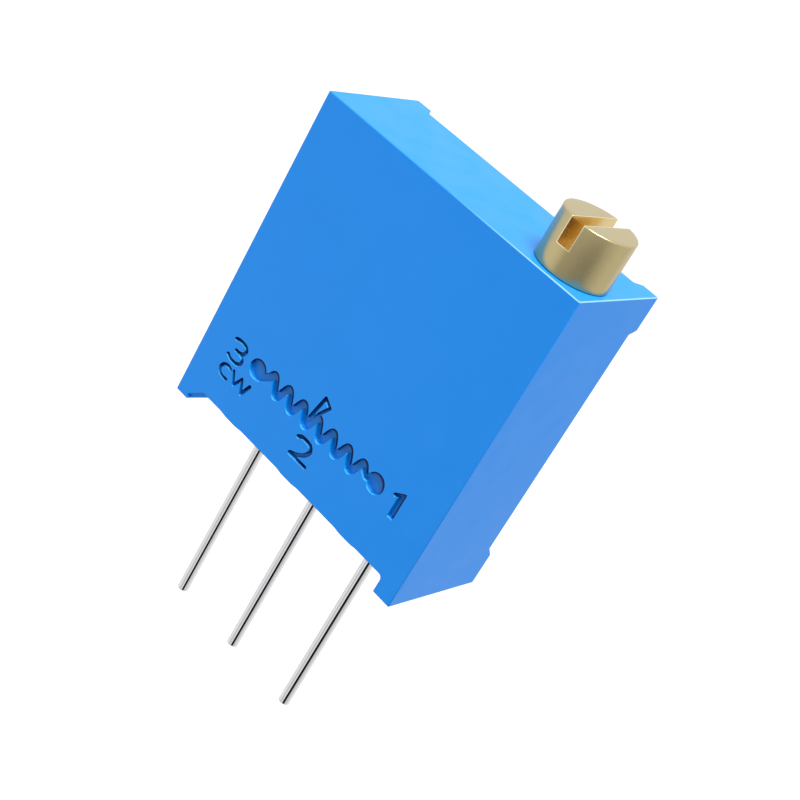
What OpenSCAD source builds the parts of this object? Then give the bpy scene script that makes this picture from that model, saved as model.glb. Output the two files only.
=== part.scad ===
// Multiturn trimmer potentiometer, square pattern, screw on the top edge, three pins in line.
// Millimetres. The origin is on the middle pin's axis, in the plane that the bottom feet stand on.
// +X runs along the row of pins, +Y from the front face to the potted back, +Z up to the screw head.

/* [Housing] */
// Width of the housing along the row of pins
body_w = 9.53; // [9.4:0.01:10.6]
// Depth from the front face to the back feet
body_d = 4.02; // [4:0.01:4.9]
// Height from the bottom feet to the top face
body_h = 10.16; // [10:0.01:11]
// Thickness of the two side walls
side_wall = 0.5; // [0.4:0.01:0.55]
// Thickness of the front wall
front_wall = 0.45; // [0.35:0.01:0.5]
// Thickness of the wall above the sealed cavity
top_wall = 0.55; // [0.45:0.01:0.7]
// Thickness of the floor that the pins pass through
floor_t = 0.5; // [0.4:0.01:0.6]

/* [Feet] */
// Height of the two bottom feet
foot_h = 0.54; // [0.4:0.01:0.7]
// Width of the right foot
right_foot_w = 0.65; // [0.45:0.01:0.8]
// Width of the left foot where it stands
left_foot_w = 0.47; // [0.3:0.01:0.6]
// Run of the left foot's sloping inner side
left_foot_slope = 0.68; // [0.4:0.01:0.8]
// Radius between the right foot and the underside
foot_fillet = 0.13; // [0.1:0.01:0.28]
// Width of the shallow step along the left foot's sloping side
foot_step_w = 0.13; // [0.1:0.01:0.16]
// Depth of that step behind the front face
foot_step_t = 0.1; // [0.06:0.01:0.14]
// How far the underside bulges down beside each pin
pin_rib_t = 0.03; // [0.02:0.01:0.05]
// Width of a bulge
pin_rib_w = 0.9; // [0.8:0.01:1.1]
// How far the four back feet stand proud of the rim
back_foot_t = 0.3; // [0.2:0.01:0.36]
// Width of a back foot along its top
back_foot_w = 0.55; // [0.4:0.01:0.7]
// Run of a back foot's sloping end
back_foot_slope = 0.16; // [0.1:0.01:0.4]
// Height of the two upper back feet
upper_foot_h = 1.1; // [0.8:0.01:1.5]
// Height of the two lower back feet
lower_foot_h = 1.08; // [0.8:0.01:1.5]
// Height of the slope under an upper back foot
upper_foot_slope = 0.12; // [0.05:0.01:0.3]
// Height of the slope over a lower back foot
lower_foot_slope = 0.3; // [0.05:0.01:0.4]

/* [Adjustment screw] */
// Distance of the screw axis from the right side
screw_inset_x = 1.24; // [1.19:0.01:1.3]
// Distance of the screw axis from the front face
screw_inset_y = 1.27; // [1.23:0.01:1.32]
// Diameter of the head
head_d = 2.14; // [1.9:0.01:2.3]
// Height of the head above the top face
head_h = 1.5; // [1.3:0.01:1.8]
// Chamfer round the head's top edge
head_chamfer = 0.06; // [0.02:0.01:0.12]
// Width of the screwdriver slot
slot_w = 0.42; // [0.36:0.01:0.6]
// Depth of the screwdriver slot
slot_depth = 0.76; // [0.5:0.01:1]
// Angle of the slot from the front-to-back line
slot_angle = 3; // [-90:1:90]
// Diameter of the neck that turns in the bore
neck_d = 1.6; // [1.5:0.01:1.66]
// Diameter at the bottom of the seal groove
seal_groove_d = 0.92; // [0.8:0.01:1]
// Height of the seal groove
seal_groove_h = 0.42; // [0.4:0.01:0.48]
// Depth of the seal groove's middle below the top face
seal_depth = 0.62; // [0.58:0.01:0.7]
// Diameter at the bottom of the retainer groove
clip_groove_d = 1; // [0.9:0.01:1.1]
// Height of the retainer groove
clip_groove_h = 0.3; // [0.28:0.01:0.36]
// Depth of the retainer groove's middle below the top face
clip_depth = 1.4; // [1.36:0.01:1.5]
// Diameter of the journal at the lower end
journal_d = 0.8; // [0.7:0.01:0.84]
// Length of the journal inside its socket
journal_len = 1.2; // [0.8:0.01:1.3]
// Height of the socket's mouth above the seating plane
socket_top = 2.55; // [2.4:0.01:2.7]

/* [Worm drive] */
// Teeth on the wheel, and turns of the screw for one turn of the wheel
wheel_teeth = 30; // [28:1:32]
// Space between the wheel's teeth and the left side wall
wheel_side_space = 0.42; // [0.34:0.01:0.6]
// Space between the wheel's teeth and the cavity's top and bottom
wheel_end_space = 0.81; // [0.7:0.01:0.95]
// Pitch radius of the worm
worm_pitch_r = 0.62; // [0.6:0.01:0.64]
// Height of a tooth above the pitch line
addendum = 0.15; // [0.12:0.01:0.16]
// Depth of a tooth below the pitch line
dedendum = 0.19; // [0.18:0.01:0.21]
// Play between the flanks, measured along the worm
backlash = 0.06; // [0.05:0.01:0.09]
// Flank angle of the teeth
pressure_angle = 20; // [18:1:22]
// Plain stretch of the screw below the worm
worm_lower_end = 0.96; // [0.6:0.01:1.1]
// Plain stretch of the screw above the worm
worm_upper_end = 1.12; // [0.9:0.01:1.3]
// Width of the wheel's rim
wheel_w = 0.94; // [0.84:0.01:1]
// Space between the wheel and the films, where the wiper spring lies
wiper_space = 0.5; // [0.45:0.01:0.54]
// Turns of the screw from one end of the travel to the other
travel_turns = 25; // [20:1:25]

/* [Wheel] */
// Diameter of the boss that the wheel turns on
pivot_d = 1.6; // [1.4:0.01:1.8]
// Outer diameter of the wheel's hub
hub_d = 2.5; // [2.3:0.01:2.7]
// Thickness of the wheel's rim under the teeth
rim_t = 0.36; // [0.26:0.01:0.46]
// Depth of the recess in the wheel's front
recess_depth = 0.3; // [0.25:0.01:0.4]
// Angle that the wheel's stop lug takes up
lug_angle = 18; // [12:1:22]
// Turn of the wheel between the end of the travel and the stop
stop_margin = 3; // [2:1:5]

/* [Wiper] */
// Thickness of the spring sheet
spring_t = 0.1; // [0.08:0.01:0.12]
// Width of one contact finger
finger_w = 0.13; // [0.1:0.01:0.15]
// Distance between neighbouring fingers
finger_pitch = 0.19; // [0.17:0.01:0.21]
// Diameter of the two staking pegs
peg_d = 0.3; // [0.25:0.01:0.34]

/* [Element] */
// Thickness of the ceramic plate
plate_t = 0.6; // [0.5:0.01:0.7]
// Chamfer at the ceramic plate's corners
plate_corner = 0.35; // [0.2:0.01:0.6]
// Thickness of the printed films
film_t = 0.04; // [0.03:0.01:0.06]
// How far the resistive arc lies inside the tips of the wheel's teeth
track_inset = 0.65; // [0.5:0.01:0.8]
// Width of the resistive arc
track_w = 0.7; // [0.6:0.01:0.8]
// Space between the resistive arc and the collector ring
track_spacing = 0.6; // [0.5:0.01:0.7]
// Width of the collector ring
collector_w = 0.5; // [0.4:0.01:0.6]
// Angle by which the resistive arc outlasts the wheel's travel at each end
track_margin = 6; // [4:1:8]
// Width of a pad at a pin
pad_w = 0.8; // [0.7:0.01:1]
// Height of a pad's top above the floor
pad_h = 1; // [0.9:0.01:1.2]
// Angle of the arc that a pad runs along
pad_angle = 9; // [6:1:12]
// Width of the collector ring's lead
lead_w = 0.4; // [0.3:0.01:0.5]

/* [Terminals] */
// Distance between neighbouring pins
pin_pitch = 2.54; // [2.5:0.01:2.6]
// Diameter of a pin
pin_d = 0.36; // [0.32:0.01:0.42]
// Length of a pin below the seating plane
pin_len = 6.45; // [3:0.05:8]
// Width of the flattened inner end of a pin
coined_w = 0.46; // [0.4:0.01:0.5]
// Thickness of the flattened inner end of a pin
coined_t = 0.24; // [0.2:0.01:0.28]
// Height of the flattened inner end above the floor
coined_h = 0.8; // [0.6:0.01:0.9]
// How far under the floor a pin starts to be flat
coined_drop = 0.2; // [0.12:0.01:0.3]
// Chamfer at a pin's tip
pin_chamfer = 0.04; // [0.02:0.01:0.08]

/* [Fits] */
// Radial clearance of turning parts
running_gap = 0.03; // [0.02:0.01:0.04]
// Axial play of turning parts
end_play = 0.03; // [0.02:0.01:0.04]
// Gap between pieces that are set in place
set_gap = 0.04; // [0.03:0.01:0.05]
// Gap between the contact fingers and the film
contact_gap = 0.01; // [0.01:0.01:0.02]
// How far the potting lies below the rim
resin_dip = 0.05; // [0:0.01:0.1]

/* [Hidden] */
$fn = 96;
// Overrun of a cutting shape past the face it opens
past = 0.2;

// Planes from front to back, counted from the pins' flattened ends
y_film = coined_t / 2 + set_gap;
y_plate = y_film + film_t;
y_plate_back = y_plate + plate_t;
wheel_y1 = y_film - wiper_space;
wheel_y0 = wheel_y1 - wheel_w;
screw_y = wheel_y1 - wheel_w / 2;
y_front = screw_y - screw_inset_y;
y_wall = y_front + front_wall;
y_feet = y_front + body_d;
y_rim = y_feet - back_foot_t;
y_resin = y_rim - resin_dip;

// Cavity behind the front wall, open at the back
cavity_x = body_w / 2 - side_wall;
cavity_z0 = foot_h + floor_t;
cavity_z1 = body_h - top_wall;

// Places of the screw and the wheel. The wheel is as large as the cavity lets it be
screw_x = body_w / 2 - screw_inset_x;
wheel_z = (cavity_z0 + cavity_z1) / 2;
wheel_pitch_r = min((screw_x - worm_pitch_r + cavity_x - wheel_side_space - addendum) / 2,
                    (cavity_z1 - cavity_z0) / 2 - wheel_end_space - addendum);
wheel_x = screw_x - wheel_pitch_r - worm_pitch_r;
worm_tip_r = worm_pitch_r + addendum;
worm_root_r = worm_pitch_r - dedendum;
wheel_tip_r = wheel_pitch_r + addendum;
wheel_root_r = wheel_pitch_r - dedendum;
rim_d = 2 * (wheel_root_r - rim_t);
track_r = wheel_tip_r - track_inset - track_w / 2;
collector_r = track_r - (track_w + collector_w) / 2 - track_spacing;
worm_lead = 2 * PI * wheel_pitch_r / wheel_teeth;
half_travel = 180 * travel_turns / wheel_teeth;
track_gap = 180 - half_travel - track_margin;
turn_per_mm = 360 * worm_lead / (2 * PI * worm_pitch_r) / (2 * PI * wheel_pitch_r);
neck_r = neck_d / 2;
bore_r = neck_r + running_gap;
channel_r = worm_tip_r + 2 * set_gap;
wheel_pocket_r = wheel_tip_r + 3 * set_gap;

// Heights along the screw
seal_z = body_h - seal_depth;
clip_z = body_h - clip_depth;
bore_below_clip = 0.35;
flange_z = clip_z - clip_groove_h / 2 - bore_below_clip;
tip_z = socket_top - journal_len;
worm_z0 = socket_top + worm_lower_end;
worm_z1 = flange_z - worm_upper_end;

// Length of the stop lug, inwards from the rim
lug_len = 0.85;

// Contact fingers
contact_y = y_film - contact_gap;
finger_reach = 1.3;
inner_reach = 0.85;
plate_spring_r = 1.85;
tab_w = 0.45;
peg_r = 1.5;
peg_proud = 0.05;

// Ring with a height, standing on z = 0
module ring(r_in, r_out, h) {
    difference() {
        cylinder(r = r_out, h = h);
        translate([0, 0, -past]) cylinder(r = r_in, h = h + 2 * past);
    }
}

// Stretch of a ring that reaches an angle half to each side of the direction mid
module sector(r_in, r_out, h, mid, half) {
    rotate_extrude(angle = 2 * half, start = mid - half) translate([r_in, 0]) square([r_out - r_in, h]);
}

// Turns a shape drawn on the XY plane so that it rises along +Y from y0, centred on x and z
module along_y(x, y0, z) {
    translate([x, y0, z]) rotate([-90, 0, 0]) children();
}

// Extrudes an outline drawn in x and z along +Y, from y0 by a depth
module slab_xz(y0, depth) {
    translate([0, y0 + depth, 0]) rotate([90, 0, 0]) linear_extrude(depth) children();
}

// Block between two corners
module block(low, high) {
    translate(low) cube(high - low);
}

// HOUSING

// Front view of the housing: a rectangle with two bottom feet, and a low bulge of the underside at each pin
module housing_outline() {
    x = body_w / 2;
    difference() {
        polygon([[-x, 0], [-x + left_foot_w, 0], [-x + left_foot_w + left_foot_slope, foot_h],
                 [x - right_foot_w - foot_fillet, foot_h], [x - right_foot_w, foot_h - foot_fillet],
                 [x - right_foot_w, 0], [x, 0], [x, body_h], [-x, body_h]]);
        translate([x - right_foot_w - foot_fillet, foot_h - foot_fillet]) circle(foot_fillet);
    }
    for (i = [-1:1]) translate([i * pin_pitch, foot_h])
        polygon([[-pin_rib_w / 2, 0], [-pin_rib_w / 4, -pin_rib_t], [pin_rib_w / 4, -pin_rib_t],
                 [pin_rib_w / 2, 0]]);
}

// Band along the left foot's sloping side that the front face is stepped back in
module foot_step() {
    slope = atan(foot_h / left_foot_slope);
    translate([-body_w / 2 + left_foot_w, 0]) intersection() {
        rotate(slope) translate([foot_step_w / 2, -past]) square([left_foot_slope * 2, foot_step_w + past]);
        translate([-foot_step_w, 0]) square([left_foot_slope + foot_step_w, foot_h]);
    }
}

// One back foot at a top or bottom corner, side is -1 for the left and 1 for the right. It reaches from
// the height z_out at the housing's edge to z_in, and slopes down to the rim over the height slope
module back_foot(side, z_out, z_in, slope) {
    x = side * body_w / 2;
    up = sign(z_in - z_out);
    intersection() {
        linear_extrude(body_h)
            polygon([[x, y_rim], [x, y_feet], [x - side * back_foot_w, y_feet],
                     [x - side * (back_foot_w + back_foot_slope), y_rim]]);
        translate([-body_w / 2, 0, 0]) rotate([90, 0, 90]) linear_extrude(body_w)
            polygon([[y_rim, z_out], [y_feet, z_out], [y_feet, z_in], [y_rim, z_in + up * slope]]);
    }
}

// Space for the worm, open to the back, and the bores of the screw
module screw_space() {
    translate([screw_x, screw_y, 0]) {
        translate([0, 0, socket_top]) cylinder(r = channel_r, h = flange_z - socket_top);
        translate([0, 0, tip_z - end_play]) cylinder(r = journal_d / 2 + running_gap, h = journal_len + past);
        translate([0, 0, flange_z - past]) cylinder(r = bore_r, h = body_h - flange_z + 2 * past);
    }
    block([screw_x - channel_r, screw_y, socket_top], [screw_x + channel_r, y_plate + past, flange_z]);
    block([screw_x - clip_half_w - set_gap, screw_y - clip_front - set_gap, clip_z - clip_groove_h / 2],
          [screw_x + clip_half_w + set_gap, y_plate + past, clip_z + clip_groove_h / 2]);
}

// Slots in the floor that the flattened pins drop into from the back, and room for their solder
module pin_space() {
    solder_half = coined_w / 2 + 4 * set_gap;
    for (i = [-1:1]) {
        x = i * pin_pitch;
        block([x - pin_slot_half, -coined_t / 2 - set_gap, -past],
              [x + pin_slot_half, y_feet + past, cavity_z0 + past]);
        block([x - solder_half, -solder_half, cavity_z0], [x + solder_half, y_plate + past, solder_top]);
    }
}

// Shallow space in front of the ceramic plate for the films between the pins and the wheel
module film_space() {
    half = pin_pitch + pad_w / 2 + set_gap;
    block([-half, y_film - set_gap, cavity_z0], [half, y_plate + past, wheel_z]);
}

module housing() {
    color("dodgerblue") {
        difference() {
            slab_xz(y_front, body_d - back_foot_t) housing_outline();
            block([-cavity_x, y_plate, cavity_z0], [cavity_x, y_feet, cavity_z1]);
            along_y(wheel_x, y_wall, wheel_z) cylinder(r = wheel_pocket_r, h = y_feet - y_wall);
            screw_space();
            pin_space();
            film_space();
            slab_xz(y_front - past, past + foot_step_t) foot_step();
        }
        // Boss and thrust ring that the wheel turns on
        along_y(wheel_x, y_wall - front_wall / 2, wheel_z)
            cylinder(d = pivot_d, h = wheel_y1 - y_wall + front_wall / 2 - end_play);
        along_y(wheel_x, y_wall - front_wall / 2, wheel_z)
            cylinder(d = hub_d, h = wheel_y0 - y_wall + front_wall / 2 - end_play);
        // Stop rib below the boss
        along_y(wheel_x, y_wall - front_wall / 2, wheel_z)
            sector(hub_d / 2 + 6 * set_gap, rim_d / 2 - 2 * set_gap,
                   wheel_y0 + recess_depth - 2 * end_play - y_wall + front_wall / 2,
                   90, 180 - half_travel - stop_margin - lug_angle / 2);
        intersection() {
            for (side = [-1, 1]) {
                back_foot(side, 0, lower_foot_h, lower_foot_slope);
                back_foot(side, body_h, body_h - upper_foot_h, upper_foot_slope);
            }
            slab_xz(y_rim, back_foot_t) housing_outline();
        }
    }
}

// ADJUSTMENT SCREW

// Distance of the thread's surface from the axis, at an axial distance from the middle of the thread
function worm_r(d) =
    let (half = worm_lead / 4 - backlash / 4, r = worm_pitch_r + (half - d) / tan(pressure_angle))
    max(worm_root_r, min(worm_tip_r, r));

// Section across the worm: the thread seen end on is a cam
worm_steps = 20;
function worm_section() =
    [for (i = [0:worm_steps - 1])
        let (a = 360 * i / worm_steps, r = worm_r(worm_lead * min(a, 360 - a) / 360))
        [r * cos(a), r * sin(a)]];

module worm() {
    worm_len = worm_z1 - worm_z0;
    turns = worm_len / worm_lead;
    start = 360 * (worm_z0 - wheel_z) / worm_lead;
    translate([0, 0, worm_z0]) rotate(start)
        linear_extrude(worm_len, twist = -360 * turns, slices = ceil(turns * worm_steps), $fn = worm_steps)
            polygon(worm_section());
}

// Half section of everything on the screw that is turned: radius across, height up
module screw_profile() {
    journal_r = journal_d / 2;
    head_r = head_d / 2;
    top = body_h + head_h;
    seal_r = seal_groove_d / 2;
    clip_r = clip_groove_d / 2;
    polygon([[0, tip_z], [journal_r - head_chamfer, tip_z], [journal_r, tip_z + head_chamfer],
             [journal_r, flange_z + end_play], [neck_r, flange_z + end_play],
             [neck_r, clip_z - clip_groove_h / 2], [clip_r, clip_z - clip_groove_h / 2],
             [clip_r, clip_z + clip_groove_h / 2], [neck_r, clip_z + clip_groove_h / 2],
             [neck_r, seal_z - seal_groove_h / 2], [seal_r, seal_z - seal_groove_h / 2],
             [seal_r, seal_z + seal_groove_h / 2], [neck_r, seal_z + seal_groove_h / 2],
             [neck_r, body_h + end_play], [head_r, body_h + end_play],
             [head_r, top - head_chamfer], [head_r - head_chamfer, top], [0, top]]);
}

module adjustment_screw() {
    color("goldenrod") translate([screw_x, screw_y, 0]) {
        difference() {
            rotate_extrude() screw_profile();
            translate([0, 0, body_h + head_h - slot_depth / 2 + past / 2]) rotate(-slot_angle)
                cube([slot_w, 2 * head_d, slot_depth + past], center = true);
        }
        worm();
    }
}

// Ring of round section in the seal groove
module shaft_o_ring() {
    section_r = (bore_r - seal_groove_d / 2) / 2 - contact_gap;
    color("black") translate([screw_x, screw_y, seal_z]) rotate_extrude()
        translate([bore_r - section_r - contact_gap, 0]) circle(section_r, $fn = 32);
}

// Size of the retainer's plate round the screw, inside the bore
clip_half_w = neck_r - set_gap / 2;
clip_front = neck_r - 2.5 * set_gap;

// Flat U-shaped clip, pushed in from the back and held there by the ceramic plate
module screw_retainer() {
    t = clip_groove_h - 2 * end_play;
    slot_r = clip_groove_d / 2 + running_gap;
    color("silver") difference() {
        block([screw_x - clip_half_w, screw_y - clip_front, clip_z - t / 2],
              [screw_x + clip_half_w, y_plate - set_gap, clip_z + t / 2]);
        translate([screw_x, screw_y, clip_z - t]) cylinder(r = slot_r, h = 2 * t);
        block([screw_x - slot_r, screw_y - clip_front - past, clip_z - t],
              [screw_x + slot_r, screw_y, clip_z + t]);
    }
}

// ROTOR

// Involute of an angle, in degrees
function involute(a) = tan(a) * 180 / PI - a;

// Half the angle that a wheel tooth takes up at a radius
function tooth_half(r) =
    let (base_r = wheel_pitch_r * cos(pressure_angle), a = acos(min(1, base_r / r)),
         pitch_half = 90 / wheel_teeth * (1 - backlash / worm_lead))
    pitch_half + involute(pressure_angle) - involute(a);

function polar(r, a) = [r * cos(a), r * sin(a)];

// Outline of the wheel, four points up each flank of each tooth
flank_r = [for (i = [0:3]) wheel_root_r + (wheel_tip_r - wheel_root_r) * i / 3];
function wheel_outline() =
    [for (k = [0:wheel_teeth - 1])
        let (a = 360 * k / wheel_teeth)
        each concat([for (i = [0:3]) polar(flank_r[i], a - tooth_half(flank_r[i]))],
                    [for (i = [3:-1:0]) polar(flank_r[i], a + tooth_half(flank_r[i]))])];

module rotor_gear() {
    twist_angle = turn_per_mm * wheel_w;
    color("whitesmoke") along_y(wheel_x, wheel_y0, wheel_z) {
        difference() {
            rotate(-twist_angle / 2) linear_extrude(wheel_w, twist = -twist_angle, slices = 3)
                polygon(wheel_outline());
            translate([0, 0, -past]) cylinder(r = pivot_d / 2 + running_gap, h = wheel_w + 2 * past);
            translate([0, 0, -past]) ring(hub_d / 2, rim_d / 2, recess_depth + past);
        }
        // Stop lug in the recess, on the upper side, opposite the stop rib
        translate([0, 0, set_gap])
            sector(rim_d / 2 - lug_len, rim_d / 2 + past, recess_depth - set_gap + past, -90, lug_angle / 2);
        // Pegs that the spring is staked on
        for (side = [-1, 1]) translate([side * peg_r, 0, wheel_w - past])
            cylinder(d = peg_d, h = past + spring_t + peg_proud);
    }
}

// Bent strip along x: rises from the sheet to the contact, then curls away. Points are x and y
module finger_profile(reach, rise) {
    top = rise - spring_t;
    line = [[-reach, 0], [-reach * 0.75, 0], [-0.18, top * 0.92], [0, top], [0.12, top * 0.94],
            [0.26, top * 0.62]];
    last = len(line) - 1;
    polygon(concat(line, [for (i = [last:-1:0]) line[i] + [0, spring_t]]));
}

// Strip of the spring at a height z from the wheel's axis, with its contact at x = 0
module finger(reach, z, direction) {
    translate([wheel_x, wheel_y1, wheel_z + z - finger_w / 2]) mirror([direction > 0 ? 0 : 1, 0, 0])
        linear_extrude(finger_w) finger_profile(reach, contact_y - wheel_y1);
}

module wiper_spring() {
    root_z = track_r + finger_pitch + finger_w / 2;
    color("gold") {
        slab_xz(wheel_y1, spring_t) translate([wheel_x, wheel_z]) difference() {
            union() {
                circle(plate_spring_r);
                // Tab that carries the outer fingers
                translate([-finger_reach, 0]) square([tab_w, root_z]);
            }
            circle(pivot_d / 2 + 2 * running_gap);
            for (side = [-1, 1]) translate([side * peg_r, 0]) circle(d = peg_d + 2 * contact_gap, $fn = 32);
            // Window under the inner finger
            translate([-0.3, -collector_r - finger_w]) square([inner_reach + 0.05, 2 * finger_w]);
        }
        for (i = [-1:1]) finger(finger_reach, track_r + i * finger_pitch, 1);
        finger(inner_reach, -collector_r, -1);
    }
}

// ELEMENT

module ceramic_substrate() {
    x = cavity_x - set_gap;
    z0 = cavity_z0 + set_gap;
    z1 = cavity_z1 - set_gap;
    c = plate_corner;
    color("white") slab_xz(y_plate, plate_t)
        polygon([[-x + c, z0], [x - c, z0], [x, z0 + c], [x, z1 - c], [x - c, z1],
                 [-x + c, z1], [-x, z1 - c], [-x, z0 + c]]);
}

module resistor_track() {
    color("dimgray") along_y(wheel_x, y_film, wheel_z)
        sector(track_r - track_w / 2, track_r + track_w / 2, film_t, -90, 180 - track_gap);
}

// Lower end of the films at the pins, and half the width of a pin's slot in the floor
pin_slot_half = coined_w / 2 + set_gap;
pad_z0 = cavity_z0 + 3 * set_gap;
pad_z1 = cavity_z0 + pad_h;
solder_top = pad_z1 + 2 * set_gap;

// Ring that the inner finger runs on, with its lead down to the middle pin
module collector_track() {
    lead_z = wheel_z - track_r - track_w / 2 - 2.5 * set_gap;
    color("lightgray") slab_xz(y_film, film_t) {
        translate([wheel_x, wheel_z]) difference() {
            circle(collector_r + collector_w / 2);
            circle(collector_r - collector_w / 2);
        }
        polygon([[wheel_x - lead_w / 2, wheel_z - collector_r], [wheel_x - lead_w / 2, lead_z],
                 [-pad_w / 2, pad_z1], [-pad_w / 2, pad_z0], [pad_w / 2, pad_z0], [pad_w / 2, pad_z1],
                 [wheel_x + lead_w / 2, lead_z], [wheel_x + lead_w / 2, wheel_z - collector_r]]);
    }
}

// Pad from one end of the arc to an outer pin, side is 1 for the right and -1 for the left
module conductor_pad(side) {
    x = side * pin_pitch;
    r0 = track_r - track_w / 2;
    r1 = track_r + track_w / 2;
    end = side * track_gap;
    inner_end = side * (track_gap - pad_angle);
    at = [wheel_x, wheel_z];
    color("lightgray") slab_xz(y_film, film_t)
        polygon([at + polar(r0, end - 90), at + polar(r1, end - 90), [x + side * pad_w / 2, pad_z1],
                 [x + side * pad_w / 2, pad_z0], [x - side * pad_w / 2, pad_z0],
                 [x - side * pad_w / 2, pad_z1], at + polar(r1, inner_end - 90),
                 at + polar(r0, inner_end - 90)]);
}

module conductor_pad_1() { conductor_pad(1); }
module conductor_pad_3() { conductor_pad(-1); }

// TERMINALS

// Pin 1 is on the right, pin 3 on the left
function pin_x(number) = (2 - number) * pin_pitch;

module terminal(number) {
    pin_r = pin_d / 2;
    round_top = foot_h - coined_drop;
    color("gainsboro") translate([pin_x(number), 0, 0]) {
        rotate_extrude()
            polygon([[0, -pin_len], [pin_r - pin_chamfer, -pin_len], [pin_r, -pin_len + pin_chamfer],
                     [pin_r, round_top], [pin_r - pin_chamfer, round_top + pin_chamfer],
                     [0, round_top + pin_chamfer]]);
        // Flattened stretch through the floor to the pad
        block([-coined_w / 2, -coined_t / 2, round_top], [coined_w / 2, coined_t / 2, cavity_z0 + coined_h]);
    }
}

module terminal_1() { terminal(1); }
module terminal_2() { terminal(2); }
module terminal_3() { terminal(3); }

// Fillet of solder between the flattened pin and its pad
module solder_joint(number) {
    wide = pad_w / 2 - set_gap;
    narrow = coined_w / 2;
    z0 = cavity_z0 + 4 * set_gap;
    z1 = cavity_z0 + coined_h - 2 * set_gap;
    color("silver") translate([pin_x(number), 0, z0]) difference() {
        linear_extrude(z1 - z0)
            polygon([[-wide, y_film], [-narrow, -coined_t / 4], [narrow, -coined_t / 4], [wide, y_film]]);
        block([-coined_w / 2, -coined_t, -past], [coined_w / 2, coined_t / 2, z1]);
    }
}

module solder_joint_1() { solder_joint(1); }
module solder_joint_2() { solder_joint(2); }
module solder_joint_3() { solder_joint(3); }

// Potting behind the plate, with tongues down the pin slots
module sealing_resin() {
    color("lightsteelblue") {
        block([-cavity_x, y_plate_back, cavity_z0], [cavity_x, y_resin, cavity_z1]);
        for (i = [-1:1])
            block([i * pin_pitch - pin_slot_half, coined_t / 2, foot_h],
                  [i * pin_pitch + pin_slot_half, y_resin, cavity_z0]);
    }
}

housing();
adjustment_screw();
shaft_o_ring();
screw_retainer();
rotor_gear();
wiper_spring();
ceramic_substrate();
resistor_track();
collector_track();
conductor_pad_1();
conductor_pad_3();
terminal_1();
terminal_2();
terminal_3();
solder_joint_1();
solder_joint_2();
solder_joint_3();
sealing_resin();
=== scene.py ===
"""Trimmer potentiometer: the visible pieces and finishes, built over the CAD frame.

Lengths in the tables are millimetres and are turned into metres where a mesh is made. The frame
is the CAD's: the origin is on the middle pin's axis in the plane under the bottom feet, +X runs
along the row of pins, +Y from the marked front face to the potted back, and +Z up to the screw's
head. Each surface's formula is given in words in the docstring of the function that computes it.
"""
import math

import bmesh
import bpy
import numpy as np
from bpy.props import FloatProperty, FloatVectorProperty, IntProperty, PointerProperty
from mathutils import Matrix, Vector


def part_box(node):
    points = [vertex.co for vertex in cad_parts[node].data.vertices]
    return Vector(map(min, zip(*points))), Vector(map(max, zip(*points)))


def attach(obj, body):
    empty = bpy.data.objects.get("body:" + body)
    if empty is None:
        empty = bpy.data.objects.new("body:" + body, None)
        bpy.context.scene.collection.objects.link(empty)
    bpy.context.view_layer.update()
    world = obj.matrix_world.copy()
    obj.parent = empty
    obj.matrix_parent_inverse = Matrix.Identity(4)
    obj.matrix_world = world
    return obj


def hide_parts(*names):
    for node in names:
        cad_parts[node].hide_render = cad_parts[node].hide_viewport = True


bl_info = {
    "name": "Trimmer potentiometer",
    "version": (1, 0, 0),
    "blender": (4, 5, 0),
    "location": "View3D > Sidebar > Trimmer",
    "description": "Builds a multiturn trimmer potentiometer's visible pieces over its CAD frame",
    "category": "Object",
}

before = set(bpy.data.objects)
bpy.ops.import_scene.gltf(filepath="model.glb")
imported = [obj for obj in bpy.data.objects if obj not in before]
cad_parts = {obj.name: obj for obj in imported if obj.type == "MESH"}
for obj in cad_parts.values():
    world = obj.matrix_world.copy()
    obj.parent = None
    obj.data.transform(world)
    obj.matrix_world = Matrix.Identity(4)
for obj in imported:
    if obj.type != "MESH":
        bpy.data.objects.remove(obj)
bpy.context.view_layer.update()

MM = 0.001


def box_mm(node):
    """Lowest and highest corner of a CAD node, in millimetres."""
    low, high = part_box(node)
    return np.array(low) / MM, np.array(high) / MM


CASE_LOW, CASE_HIGH = box_mm("housing")
SCREW_LOW, SCREW_HIGH = box_mm("adjustment_screw")
RESIN_HIGH = box_mm("sealing_resin")[1]
WHEEL_LOW, WHEEL_HIGH = box_mm("rotor_gear")
SCREW_AXIS = (SCREW_LOW[:2] + SCREW_HIGH[:2]) / 2


def linear(hex_colour):
    """An sRGB hex colour as linear red, green and blue."""
    srgb = np.array([int(hex_colour[i:i + 2], 16) for i in (1, 3, 5)]) / 255
    return tuple(np.where(srgb <= 0.04045, srgb / 12.92, ((srgb + 0.055) / 1.055) ** 2.4).tolist())


# ---- sizes and colours that a user would change ----

def length(name, text, value_mm, top_mm):
    """A length property in metres, from a default in millimetres."""
    return FloatProperty(name=name, description=text, default=value_mm * MM, min=0,
                         max=top_mm * MM, subtype="DISTANCE", unit="LENGTH", precision=5)


def colour(name, text, hex_colour):
    """A colour property from an sRGB hex value."""
    return FloatVectorProperty(name=name, description=text, default=linear(hex_colour), size=3,
                               min=0, max=1, subtype="COLOR")


def whole(name, text, value, low, high):
    """A property that is a whole number."""
    return IntProperty(name=name, description=text, default=value, min=low, max=high)


class HousingSettings(bpy.types.PropertyGroup):
    plastic: colour("Plastic", "Colour of the moulded housing", "#008CF0")
    edge_radius: length("Edge radius", "Radius on the housing's outer edges", 0.03, 0.1)
    mark_depth: length("Mark depth", "Depth of the sunken marks on the front face", 0.15, 0.3)
    mark_step: length("Mark step", "Spacing of the grid that cuts the marks", 0.0125, 0.1)


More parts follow.
